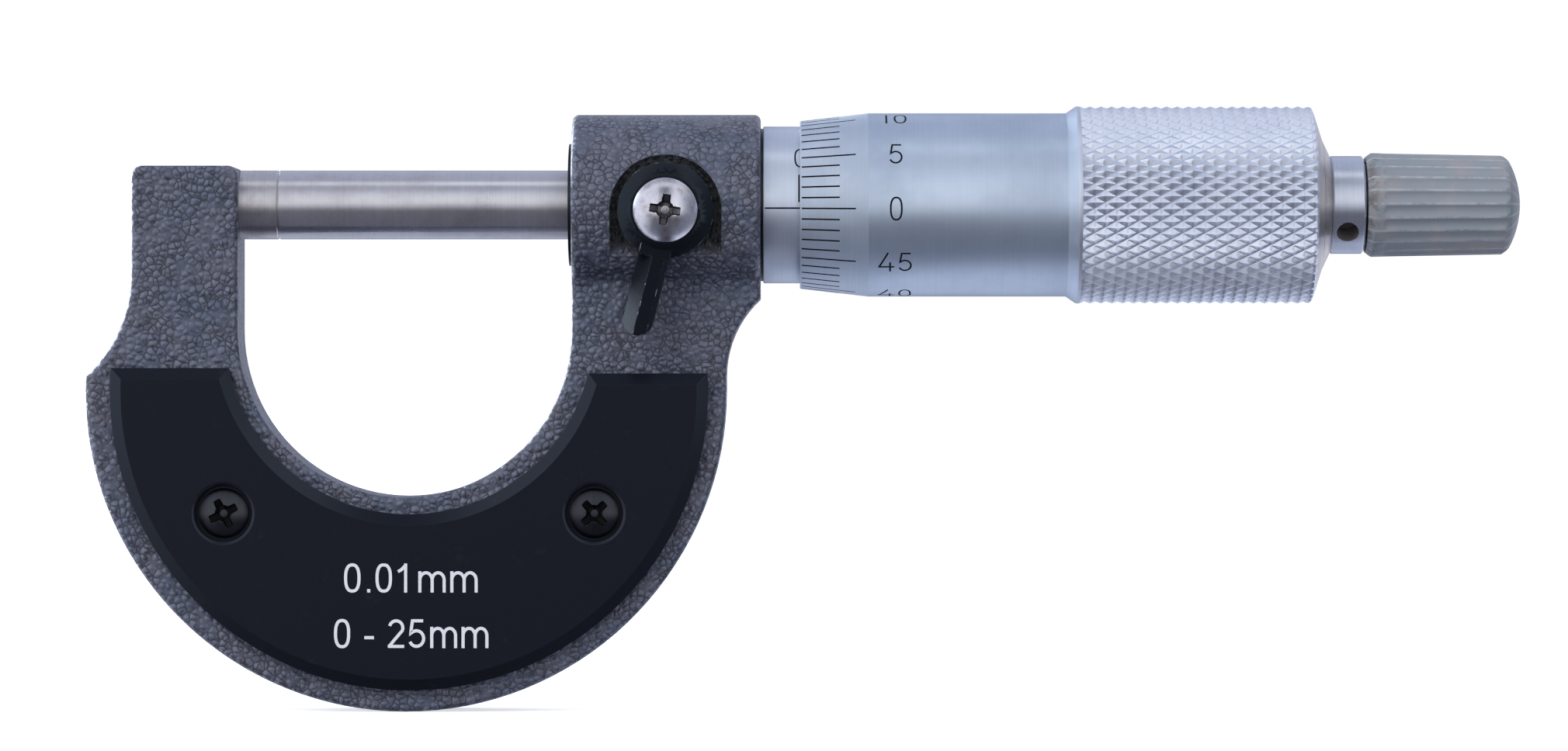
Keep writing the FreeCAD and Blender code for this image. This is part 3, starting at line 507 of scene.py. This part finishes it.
class Strips:
    """Many closed strips gathered into one mesh."""

    def __init__(self, width, lift, sink):
        self.points, self.faces = [], []
        self.width, self.lift, self.sink = width, lift, sink

    def add(self, path, where, layer=0, width=None):
        """Crossing strips lie on layers, so that no two faces share a plane."""
        lift = self.lift + 0.003 * layer
        points, faces = ribbon(path, width or self.width, lift, self.sink, where)
        start = len(self.points)
        self.points += points
        self.faces += [tuple(start + i for i in face) for face in faces]

    def text(self, words, height, where, spread=1.0, plain=False, width=None):
        """Letters centred on the origin of where, standing on its zero level."""
        glyphs = [PLAIN_ONE if plain and c == "1" else GLYPHS[c] for c in words]
        pen = -sum(g[0] for g in glyphs) * height * spread / 2
        for advance, strokes in glyphs:
            for layer, stroke in enumerate(strokes):
                path = [(pen + x * height * spread, y * height) for x, y in stroke]
                self.add(divided(path, 0.25), where, layer, width)
            pen += advance * height * spread

    def build(self, name, body, material):
        build(name, self.points, self.faces, body, material)


def on_cylinder(x, angle, radius):
    """Where a mark goes that is drawn at x, turned by an angle in degrees, on a turned surface."""
    middle = math.radians(angle)

    def where(across, up, proud):
        reach = radius(x + across) if callable(radius) else radius
        a = middle + up / reach
        return (x + across, -(reach + proud) * math.cos(a), (reach + proud) * math.sin(a))

    return where


# ---------------------------------------------------------------- frame and plates

refine("frame", "frame", HAMMER, 0.19)
for node in ("front_insulating_plate", "rear_insulating_plate"):
    refine(node, "frame", PLATE, 0.15, corner=22.0)

LETTER_HEIGHT = 2.72
plate_face = low("front_insulating_plate").y


def on_plate(x, z):
    """Where a mark goes that is drawn round x, z on the front plate."""
    return lambda across, up, proud: (x + across, plate_face - proud, z + up)


lettering = Strips(0.29, 0.02, 0.05)
lettering.text("0.01mm", LETTER_HEIGHT, on_plate(12.75, -36.40), 0.94)
lettering.text("0 - 25mm", LETTER_HEIGHT, on_plate(12.78, -41.60), 0.92)
lettering.build("plate_lettering", "frame", WHITE)


# ---------------------------------------------------------------- screws


def screw(name, node, materials, body, front, spin, cross, head):
    """A domed cross-recess screw that fills its CAD node's box. front is -1 facing -Y, else 1.

    materials are the screw's own and its recess's, which paints shade into the cross; cross is the recess's
    arm, half width and depth, and head is the dome's rise, the height of the rim under it, and the shank's
    radius.
    """
    arm, half_width, depth = cross
    rise, rim, shank = head
    rings, steps, chamfer = 56, 144, 0.2
    lowest, highest = low(node), high(node)
    middle = (lowest + highest) / 2
    radius = (highest.x - lowest.x) / 2
    top, foot = (lowest.y, highest.y) if front < 0 else (highest.y, lowest.y)
    length = abs(foot - top)
    crown = (radius * radius + rise * rise) / (2 * rise)
    twist = math.radians(spin)

    def recess(x, z):
        """How deep the cross is cut at a point of the head."""
        u = x * math.cos(twist) + z * math.sin(twist)
        v = z * math.cos(twist) - x * math.sin(twist)
        cut = 0.0
        for along, across in ((abs(u), abs(v)), (abs(v), abs(u))):
            width = half_width * (1.0 - 0.18 * along / arm)
            wall = min(1.0, max(0.0, (width - across) / (0.25 * half_width)))
            end = min(1.0, max(0.0, (arm - along) / (0.55 * arm)))
            cut = max(cut, wall * (0.35 + 0.65 * end) * (1.0 if along < arm else 0.0))
        web = max(0.0, 1.0 - math.hypot(u, v) / (1.9 * half_width))
        return depth * max(cut, min(1.0, 1.6 * web))

    def ring(r, drop_at):
        """Points round the screw's axis, each let down from the crown by drop_at its x and z."""
        for k in range(steps):
            x, z = r * math.cos(TURN * k / steps), r * math.sin(TURN * k / steps)
            points.append((middle.x + x, top - front * drop_at(x, z), middle.z + z))

    points = [(middle.x, top - front * depth, middle.z)]
    for i in range(1, rings + 1):
        r = radius * (i / rings)
        level = math.sqrt(crown * crown - r * r) - (crown - rise)
        ring(r, lambda x, z: rise - level + recess(x, z))
    outline = [(radius, rise + rim), (shank, rise + rim), (shank, length - chamfer),
               (shank - chamfer, length)]
    for r, drop in outline:
        ring(r, lambda x, z: drop)
    points.append((middle.x, foot, middle.z))
    faces = [(0, 1 + k, 1 + (k + 1) % steps) for k in range(steps)]
    for i in range(rings + len(outline) - 1):
        start = 1 + i * steps
        for k in range(steps):
            n = (k + 1) % steps
            faces.append((start + k, start + steps + k, start + steps + n, start + n))
    last = len(points) - 1
    start = last - steps
    faces += [(last, start + (k + 1) % steps, start + k) for k in range(steps)]
    piece = build(name, points, faces, body, materials[0], [node], 40.0)
    # Faces deep in the cross take the second material, painted shade in the recess
    piece.data.materials.append(materials[1])
    for polygon in piece.data.polygons:
        spot = polygon.center / MM - middle
        away = math.hypot(spot.x, spot.z)
        if 0.25 * arm < away < 1.3 * arm and recess(spot.x, spot.z) > 0.2 * depth:
            polygon.material_index = 1


for side, spin in (("left", 27.0), ("right", 43.0)):
    for face, front in (("front", -1), ("rear", 1)):
        node = "%s_plate_screw_%s" % (face, side)
        screw(node + "_head", node, (BLACKED, PAINTED_RECESS_SHADE), "frame", front, -spin * front,
              (1.38, 0.42, 0.70), (0.62, 0.38, 1.25))
screw("lock_screw_head", "lock_screw", (BRIGHT, PAINTED_STEEL_RECESS), "lock_lever", -1, -8.0,
      (1.42, 0.44, 1.1), (1.40, 0.30, 1.5))


# ---------------------------------------------------------------- lock lever

refine("lock_lever", "lock_lever", LEVER, 0.13)


# ---------------------------------------------------------------- spindle and anvil

LAP = 0.12  # the chamfer round both measuring faces
THREAD_START, TAPER_START = 43.5, 84.0
TAP_RADIUS, TAP_END = 2.0, 88.0  # the tapped hole in the spindle's back end
LEG_FACE, STEM_RADIUS = -3.6, 2.75  # the anvil is thinner inside the frame's leg
spindle_radius = (high("anvil").z - low("anvil").z) / 2
spindle_back = high("spindle").x
thread_radius = (high("spindle").z - low("spindle").z) / 2
turned("spindle_ground", [
    (0.0, 0.0), (0.0, spindle_radius - LAP), (LAP, spindle_radius), (THREAD_START, spindle_radius),
    (THREAD_START + 0.4, thread_radius), (TAPER_START, thread_radius), (TAPER_START, 3.6),
    (spindle_back, 2.9), (spindle_back, TAP_RADIUS), (TAP_END, TAP_RADIUS), (TAP_END, 0.0)],
    "thimble", GROUND, "spindle")
anvil_back = low("anvil").x
turned("anvil_lapped", [
    (0.0, 0.0), (0.0, spindle_radius - LAP), (-LAP, spindle_radius), (LEG_FACE, spindle_radius),
    (LEG_FACE, STEM_RADIUS), (anvil_back, STEM_RADIUS), (anvil_back, 0.0)],
    "frame", ANVIL, "anvil")


# ---------------------------------------------------------------- sleeve and thimble

DATUM = -3.7  # degrees: where the datum line runs
sleeve_front, sleeve_back = low("graduated_sleeve").x, high("graduated_sleeve").x
sleeve_radius = round((high("graduated_sleeve").z - low("graduated_sleeve").z) / 2, 2)
sleeve_bore = 6.6
turned("sleeve_satin", softened([
    (sleeve_front, sleeve_bore), (sleeve_front, sleeve_radius, 0.12), (sleeve_back, sleeve_radius, 0.12),
    (sleeve_back, sleeve_bore)]), "frame", SLEEVE, "graduated_sleeve", closed=True)

thimble_front, thimble_back = low("thimble").x, high("thimble").x
LIP, BARREL, GRIP = 7.9, 8.65, 9.3  # radii outside, from front to back
BORE, TAIL_BORE, WALL = 7.6, 6.0, 84.5  # two radii inside, and the X of the wall between them
BEVEL_END, RISE, GRIP_START, GRIP_END = 55.5, 74.15, 75.1, 96.8  # X of the outside's corners
CONE_START, CONE_SKIN = 97.45, 97.5  # the bare cone's edge, and the X that all its faces are behind
KNURL_START, KNURL_END = 75.45, 97.25
KNURL_STARTS = 48  # grooves of each hand round the grip
KNURL_PITCH = 2.06  # from one groove to the next along the grip
KNURL_CELLS = 12  # mesh cells to a pitch
DEEP, SHALLOW = 0.38, 0.31  # depths of the two sets of grooves


def knurled(x, r, angle):
    """The radius left by two crossed sets of grooves, the rising set the deeper."""
    if not KNURL_START - 0.01 <= x <= KNURL_END + 0.01:
        return r
    turn = angle * KNURL_STARTS / TURN
    along = (x - KNURL_START) / KNURL_PITCH
    rising = 1.0 - abs(2.0 * ((turn - along) % 1.0) - 1.0)
    falling = 1.0 - abs(2.0 * ((turn + along) % 1.0) - 1.0)
    crest = GRIP - DEEP + min(DEEP * rising, DEEP - SHALLOW + SHALLOW * falling)
    return min(r, crest)


def grip_radius(x):
    """The smooth grip's radius, which is smaller near its two ends."""
    if x < GRIP_START:
        return BARREL + (GRIP - BARREL) * (x - RISE) / (GRIP_START - RISE)
    if x > GRIP_END:
        t = min(1.0, (x - GRIP_END) / 0.65)
        return GRIP - 0.25 * t * t
    return GRIP


def thimble_profile():
    """The thimble's outline, with a ring for every cell of the knurl."""
    front = softened([
        (thimble_front, BORE), (thimble_front, LIP, 0.06), (BEVEL_END, BARREL, 0.06),
        (RISE, BARREL, 0.25), (GRIP_START, GRIP, 0.25), (KNURL_START - 0.02, GRIP)])
    rings = round((KNURL_END - KNURL_START) / KNURL_PITCH * KNURL_CELLS)
    stops = [KNURL_START + KNURL_PITCH * i / KNURL_CELLS for i in range(rings + 1)]
    middle = [(x, grip_radius(x)) for x in stops]
    back = softened([
        middle[-1], (CONE_START, 8.7, 0.1), (thimble_back, 6.4, 0.05), (thimble_back, TAIL_BORE),
        (WALL, TAIL_BORE), (WALL, BORE)])
    return front + middle + back[1:]


def creased(face, points):
    """A knurled four-sided face split along whichever diagonal follows the groove through it."""
    corners = [Vector(points[i]) for i in face]
    if len(face) != 4 or not all(KNURL_START <= c.x <= KNURL_END for c in corners):
        return [face]
    middle = sum(corners, Vector()) / 4
    angle = math.atan2(middle.z, -middle.y)
    wanted = knurled(middle.x, grip_radius(middle.x), angle)
    radii = [c.yz.length for c in corners]
    if abs((radii[0] + radii[2]) / 2 - wanted) < abs((radii[1] + radii[3]) / 2 - wanted):
        return [(face[0], face[1], face[2]), (face[0], face[2], face[3])]
    return [(face[0], face[1], face[3]), (face[1], face[2], face[3])]


points, faces = lathe(thimble_profile(), KNURL_STARTS * KNURL_CELLS, knurled, closed=True)
faces = [part for face in faces for part in creased(face, points)]
thimble_piece = build("thimble_knurled", points, faces, "thimble", CHROME, ["thimble"],
                      24.0)
for material in (KNURL, MATT, WASHER):
    thimble_piece.data.materials.append(material)
for polygon in thimble_piece.data.polygons:
    x, r = polygon.center.x / MM, polygon.center.yz.length / MM
    if x > CONE_SKIN and r > TAIL_BORE + 0.1:
        polygon.material_index = 3
    elif x > GRIP_START and r > BARREL:
        polygon.material_index = 1
    elif x < BEVEL_END and r > LIP - 0.06:
        polygon.material_index = 2


def bevel_radius(x):
    part = (x - thimble_front) / (BEVEL_END - thimble_front)
    return LIP + (BARREL - LIP) * min(1.0, max(0.0, part))


MARK_WIDTH, MARK_LIFT, MARK_SINK = 0.15, 0.006, 0.04
DIVISIONS = 50
LONG_MARK, SHORT_MARK, NUMBERS_AT = 54.3, 52.8, 58.1  # X of two ends of marks and of the numbers
DIGIT_HEIGHT = 2.3
marks = Strips(MARK_WIDTH, MARK_LIFT, MARK_SINK)
for k in range(DIVISIONS):
    angle = DATUM + 360.0 / DIVISIONS * k
    end = LONG_MARK if k % 5 == 0 else SHORT_MARK
    path = [(thimble_front + 0.15, 0.0), (end, 0.0)]
    marks.add(divided(path, 1.0), on_cylinder(0.0, angle, bevel_radius))
    if k % 5 == 0:
        where = on_cylinder(NUMBERS_AT, angle - math.degrees(DIGIT_HEIGHT / 2 / BARREL), BARREL)
        marks.text(str(k), DIGIT_HEIGHT, where, 0.91, plain=True, width=0.17)
marks.build("thimble_scale", "thimble", INK)

ZERO, SCALE_LENGTH = 49.0, 26.3  # X of the sleeve's first mark, and the datum line's length from it
HALF_MARKS = 52
SLEEVE_DIGITS = 2.26  # their height
ABOVE_DATUM = 39.0  # degrees from the datum line to the middle of the numbers
datum = on_cylinder(0.0, DATUM, sleeve_radius)
marks = Strips(MARK_WIDTH, MARK_LIFT, MARK_SINK)
marks.add(divided([(sleeve_front + 0.15, 0.0), (ZERO + SCALE_LENGTH, 0.0)], 2.0), datum)
for half_mm in range(HALF_MARKS):
    x = ZERO + half_mm / 2
    tall = 3.2 if half_mm % 10 == 0 else 2.3
    start, end = (0.55, tall) if half_mm % 2 == 0 else (-0.45, -2.0)
    marks.add(divided([(x, start), (x, end)], 0.25), datum)
    if half_mm % 10 == 0:
        angle = DATUM + ABOVE_DATUM - math.degrees(SLEEVE_DIGITS / 2 / sleeve_radius)
        where = on_cylinder(x + 0.2, angle, sleeve_radius)
        marks.text(str(half_mm // 2), SLEEVE_DIGITS, where, 0.95, plain=True)
marks.build("sleeve_scale", "frame", INK)


# ---------------------------------------------------------------- ratchet end

refine("end_washer", "spindle_carrier", WASHER, 0.05)
collar = refine("ratchet_shaft", "thimble", COLLAR, 0.05)

# The inside of the spanner hole is painted shade: its faces lie near the hole's axis, under the collar's skin
HOLE_MIDDLE, HOLE_ANGLE, HOLE_RADIUS = Vector((100.5, 0.0, 0.0)), math.radians(35.6), 1.08
HOLE_BOTTOM, HOLE_TOP = 1.0, 4.52
hole_axis = Vector((0.0, -math.cos(HOLE_ANGLE), -math.sin(HOLE_ANGLE)))
collar.data.materials.append(PAINTED_HOLE_SHADE)
for polygon in collar.data.polygons:
    spot = polygon.center / MM - HOLE_MIDDLE
    out = spot.dot(hole_axis)
    if HOLE_BOTTOM < out < HOLE_TOP and (spot - out * hole_axis).length < HOLE_RADIUS:
        polygon.material_index = 1
refine("inner_sleeve", "frame", BLACKED, 0.06)

CUTTER = 0.95  # radius of each flute's hollow
FLUTE_DEPTH = 0.2
FLUTE_START, FLUTE_FADE = 103.8, 0.35
CAP_WIDE, CAP_RADIUS = 102.95, 4.9  # where the cap is widest, and its radius there
CAP_TAPER, CAP_RUN = 0.23, 12.35  # its radius shrinks by the one over a length of the other
CAP_FLOOR, CAP_BORE = 114.6, 4.05  # its hollow inside
CROWN = 8.6  # radius of its domed end
cap_front, cap_back = low("ratchet_cap").x, high("ratchet_cap").x


def fluted(x, r, angle):
    """The radius left by shallow scallops along the cap, which fade in behind a plain band."""
    if r < 4.0 or x < FLUTE_START:
        return r
    surface = CAP_RADIUS - CAP_TAPER * (x - CAP_WIDE) / CAP_RUN
    fade = min(1.0, (x - FLUTE_START) / FLUTE_FADE)
    turn = (angle * FLUTES / TURN) % 1.0 - 0.5
    swing = turn * TURN / FLUTES
    centre = surface + CUTTER - FLUTE_DEPTH * fade
    inside = CUTTER * CUTTER - (centre * math.sin(swing)) ** 2
    if inside <= 0.0:
        return r
    return min(r, centre * math.cos(swing) - math.sqrt(inside))


crown = [(cap_back - CROWN + math.sqrt(CROWN ** 2 - r * r), r) for r in (3.6, 3.0, 2.4, 1.8, 1.2, 0.6, 0.0)]
profile = softened([
    (CAP_FLOOR, CAP_BORE), (cap_front, CAP_BORE), (cap_front, 4.5, 0.05), (CAP_WIDE, CAP_RADIUS, 0.25),
    (FLUTE_START, 4.885), (104.0, 4.88), (104.2, 4.877), (110.0, 4.77), (115.3, 4.67, 0.3),
    (115.7, 4.38), (115.95, 4.1, 0.2)] + crown)
points, faces = lathe([(CAP_FLOOR, 0.0)] + profile, FLUTES * 20, fluted)
build("cap_fluted", points, faces, "ratchet", CAP, ["ratchet_cap"], 28.0)

# Pieces that keep their CAD shape
INNER = {
    "adjusting_nut": BLACKED, "taper_coupling": BLACKED, "driven_ratchet": BLACKED,
    "driving_ratchet": BLACKED, "ratchet_retaining_screw": BLACKED, "lock_stud": BLACKED,
    "lock_plug": BRASS, "ratchet_spring": SPRING,
}
for node, material in INNER.items():
    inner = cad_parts[node]
    inner.data.materials.clear()
    inner.data.materials.append(material)


# ---------------------------------------------------------------- stage

# The studio's light at each angle about the X axis, in degrees from the front up over the top: AHEAD
# square to the spindle, and BESIDE slanting towards its ends. ABOVE and BELOW are parts of BESIDE.
ABOVE = [
    (38, (0.96, 1.00, 1.12)), (64, (0.84, 0.88, 1.00)), (72, (0.90, 0.93, 1.02)),
    (80, (0.90, 0.93, 1.02)), (86, (0.62, 0.66, 0.78)), (130, (0.64, 0.70, 0.88)),
    (158, (0.70, 0.76, 0.94)), (180, (0.78, 0.84, 1.00)),
]
BELOW = [
    (-180, (0.84, 0.90, 1.06)), (-142, (0.98, 1.05, 1.26)), (-110, (1.02, 1.09, 1.31)),
    (-92, (0.82, 0.88, 1.09)), (-78, (0.24, 0.26, 0.34)), (-60, (0.16, 0.17, 0.22)),
    (-30, (0.16, 0.165, 0.20)),
]
BESIDE = BELOW + [
    (-20, (0.22, 0.225, 0.26)), (-10, (0.78, 0.80, 0.89)), (-2, (1.42, 1.44, 1.52)),
    (6, (1.30, 1.32, 1.40)), (14, (1.12, 1.15, 1.24)), (28, (1.02, 1.06, 1.16)),
] + ABOVE
AHEAD = [
    (-180, (0.26, 0.28, 0.37)), (-168, (0.30, 0.32, 0.42)), (-146, (0.46, 0.50, 0.63)),
    (-112, (0.24, 0.26, 0.35)), (-94, (0.10, 0.105, 0.15)), (-84, (0.08, 0.08, 0.11)),
    (-74, (0.10, 0.10, 0.13)), (-30, (0.12, 0.12, 0.145)), (-2, (0.10, 0.105, 0.13)),
    (6, (0.46, 0.465, 0.49)), (14, (0.68, 0.685, 0.71)), (28, (0.66, 0.68, 0.74)),
    (38, (0.50, 0.53, 0.60)), (50, (0.22, 0.24, 0.30)), (64, (0.20, 0.22, 0.28)),
    (72, (0.80, 0.83, 0.94)), (80, (0.80, 0.83, 0.94)), (88, (0.36, 0.38, 0.48)),
    (148, (0.44, 0.48, 0.61)), (168, (0.30, 0.32, 0.42)), (180, (0.26, 0.28, 0.37)),
]
LEFT_LIGHT = (1.00, 1.05, 1.20)
RIGHT_LIGHT = (0.26, 0.29, 0.37)
BACKDROP = (1.02, 1.02, 1.02)
# Name, place and size in metres, watts, colour, and whether shiny surfaces show it
LIGHTS = (
    ("key", (-0.35, -0.55, 0.55), 0.30, 3.0, (1.0, 0.99, 1.0), False),
    ("fill", (0.10, -0.55, -0.50), 0.40, 2.4, (0.94, 0.97, 1.0), False),
    ("left_box", (-0.82, 0.34, 0.30), 0.50, 1.7, (0.76, 0.88, 1.0), True),
    ("rim_box", (-0.58, 0.69, 0.20), 0.50, 4.5, (0.90, 0.95, 1.0), True),
)
LIT_SPOT = Vector((0.045, 0.0, -0.015))


def make_world():
    """A studio whose light depends on direction alone, and which the camera sees as plain white."""
    world = bpy.data.worlds.new("studio")
    bpy.context.scene.world = world
    world.use_nodes = True
    sky = Nodes(world.node_tree)

    def share(value, start, end):
        return sky.node("ShaderNodeMapRange", {"Value": value, "From Min": start, "From Max": end}).outputs[0]

    def ramp(value, colours):
        made = sky.node("ShaderNodeValToRGB", {"Fac": value})
        stops = made.color_ramp.elements
        stops.remove(stops[1])
        for k, (degrees, colour) in enumerate(colours):
            stop = stops[0] if k == 0 else stops.new(degrees / 360 + 0.5)
            stop.position = degrees / 360 + 0.5
            stop.color = (*colour, 1.0)
        return made.outputs["Color"]

    x, _, _, angle = sky.axes(sky.node("ShaderNodeTexCoord").outputs["Generated"])
    angle = share(angle, -math.pi, math.pi)
    sideways = share(sky.maths("ABSOLUTE", x), 0.14, 0.36)
    colour = sky.mix(sideways, ramp(angle, AHEAD), ramp(angle, BESIDE))
    colour = sky.mix(share(x, 0.55, 0.95), colour, RIGHT_LIGHT)
    colour = sky.mix(share(x, -0.55, -0.95), colour, LEFT_LIGHT)
    lit = sky.tree.nodes["Background"]
    sky.feed(lit.inputs["Color"], colour)
    backdrop = sky.node("ShaderNodeBackground", {"Color": BACKDROP})
    seen = sky.node("ShaderNodeLightPath").outputs["Is Camera Ray"]
    chosen = sky.node("ShaderNodeMixShader", {0: seen, 1: lit.outputs[0], 2: backdrop.outputs[0]})
    sky.feed(sky.tree.nodes["World Output"].inputs["Surface"], chosen.outputs[0])


def make_floor():
    """A white floor under the frame, which only the camera sees."""
    level = low("frame").z
    size = 12000.0
    mesh = bpy.data.meshes.new("floor")
    corners = [(-size, -size), (size, -size), (size, size), (-size, size)]
    mesh.from_pydata([Vector((x, y, level)) * MM for x, y in corners], [], [(0, 1, 2, 3)])
    floor = bpy.data.objects.new("floor", mesh)
    bpy.context.scene.collection.objects.link(floor)
    floor.visible_glossy = False
    floor.visible_diffuse = False
    pale = Paint("floor_white", Roughness=0.9, Specular_IOR_Level=0.1)
    pale.set(Base_Color=pale.mix(pale.noise(6.0), (0.80, 0.80, 0.82), (0.84, 0.84, 0.86)))
    pale.set(Emission_Color=(1.0, 1.0, 1.01), Emission_Strength=0.62)
    mesh.materials.append(pale.material)


def make_light(name, spot, size, watts, colour, shines):
    data = bpy.data.lights.new(name, "AREA")
    data.shape = "RECTANGLE"
    data.size = size
    data.size_y = size
    data.energy = watts
    data.color = colour
    light = bpy.data.objects.new(name, data)
    bpy.context.scene.collection.objects.link(light)
    light.location = spot
    light.visible_glossy = shines
    light.rotation_euler = (LIT_SPOT - light.location).to_track_quat("-Z", "Y").to_euler()


def make_camera():
    data = bpy.data.cameras.new("camera")
    data.lens = 155.7
    data.sensor_width = 36.0
    data.clip_start = 0.01
    data.clip_end = 60.0
    camera = bpy.data.objects.new("camera", data)
    bpy.context.scene.collection.objects.link(camera)
    camera.location = (0.0476, -0.640, -0.0161)
    camera.rotation_euler = (math.radians(90.0), 0.0, 0.0)
    bpy.context.scene.camera = camera


make_world()
make_floor()
make_camera()
for light in LIGHTS:
    make_light(*light)
bpy.context.scene.view_settings.view_transform = "Standard"
